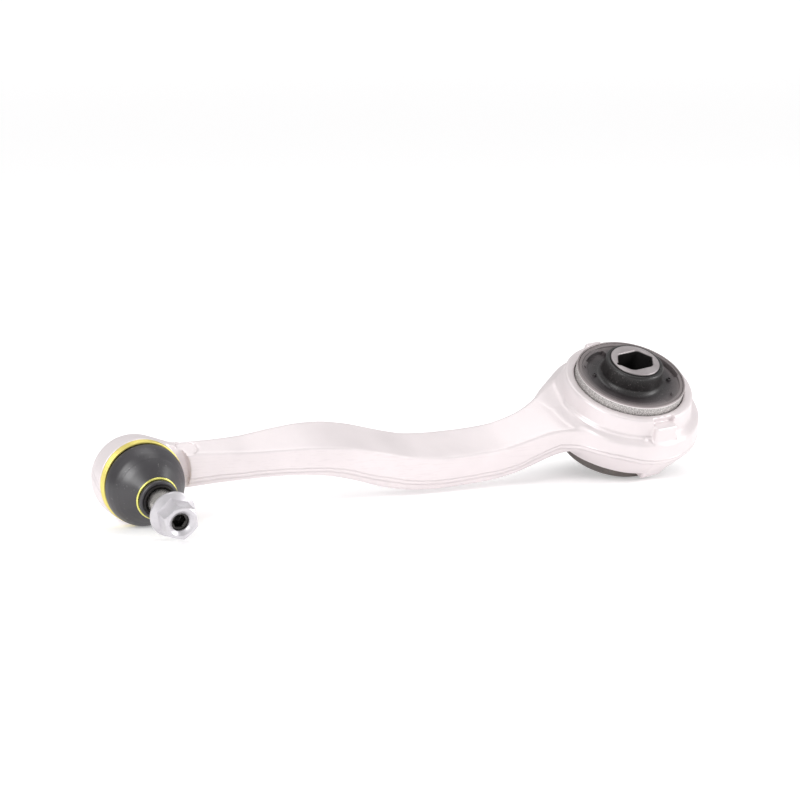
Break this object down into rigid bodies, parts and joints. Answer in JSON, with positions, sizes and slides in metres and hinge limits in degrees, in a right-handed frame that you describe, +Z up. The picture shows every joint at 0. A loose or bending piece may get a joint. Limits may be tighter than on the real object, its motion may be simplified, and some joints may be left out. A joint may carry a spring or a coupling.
{
  "type": "control arm",
  "caption": "Forged suspension control arm with a hydraulic bush in an eye at one end and a booted ball joint with a flange nut at the other.",
  "frame": {"origin": "middle of the bush's inner sleeve, on the axis of its bolt hole", "axes": "+X runs from the ball joint to the bush, +Z is up with the arm lying as it rests on a floor, and the bush axis leans 26.8 degrees from +Z towards -Y, the side the stud points to"},
  "size_m": [0.38, 0.1089, 0.0783],
  "materials": {
    "arm": "forged and shot-blasted, bright satin, fine lengthwise grinding lines",
    "can": "grainy pressed aluminium, light grey, speckled",
    "sleeve": "turned steel, satin",
    "bush_rubber": "moulded rubber, satin black",
    "end_ring": "moulded ring, dark grey-black, satin",
    "low_ring": "moulded ring, dark brown-grey",
    "plastic": "glass-filled plastic, dull",
    "cage": "pressed sheet steel",
    "fluid": "glycol filling",
    "shell": "bearing plastic, natural",
    "cover": "pressed and plated steel plate",
    "grease": "amber grease",
    "boot": "smooth black rubber, semi-gloss",
    "large_clip": "yellow passivated spring wire",
    "small_clip": "pale yellow passivated spring wire",
    "collar": "blackened steel",
    "stud": "ground and phosphated steel",
    "nut": "bright zinc plate"
  },
  "bodies": {
    "arm": {"arm_forging": "arm", "bush_outer_can": "can", "bush_support_cage": "cage", "bush_channel_ring": "plastic", "bush_fluid": "fluid", "bush_rubber": "bush_rubber", "bush_top_ring": "end_ring", "bush_bottom_ring": "low_ring", "socket_shell": "shell", "socket_pressure_ring": "bush_rubber", "socket_cover": "cover", "socket_cover_lip": "cover", "boot": "boot", "boot_large_clip": "large_clip"},
    "bush_core": {"bush_inner_sleeve": "sleeve", "bush_travel_stop": "plastic"},
    "joint_cradle": {"joint_grease": "grease"},
    "boot_neck": {"boot_small_clip": "small_clip", "boot_collar": "collar"},
    "stud": {"ball_stud": "stud", "flange_nut": "nut"}
  },
  "joints": [
    {"name": "bush_twist", "type": "hinge", "parent": "arm", "child": "bush_core", "pos_m": [0, 0, 0], "axis": [0, -0.4509, 0.8926], "range_deg": [-15, 15], "stiffness_Nm_per_rad": 57},
    {"name": "stud_droop", "type": "hinge", "parent": "arm", "child": "joint_cradle", "pos_m": [-0.307, 0.0037, -0.019], "axis": [1, 0, 0], "range_deg": [-27, 13], "deforming": ["boot"]},
    {"name": "stud_sweep", "type": "hinge", "parent": "joint_cradle", "child": "boot_neck", "pos_m": [-0.307, 0.0037, -0.019], "axis": [0, -0.1702, 0.9854], "range_deg": [-20, 20]},
    {"name": "stud_spin", "type": "hinge", "parent": "boot_neck", "child": "stud", "pos_m": [-0.307, 0.0037, -0.019], "axis": [0, -0.9854, -0.1702], "continuous": true}
  ]
}
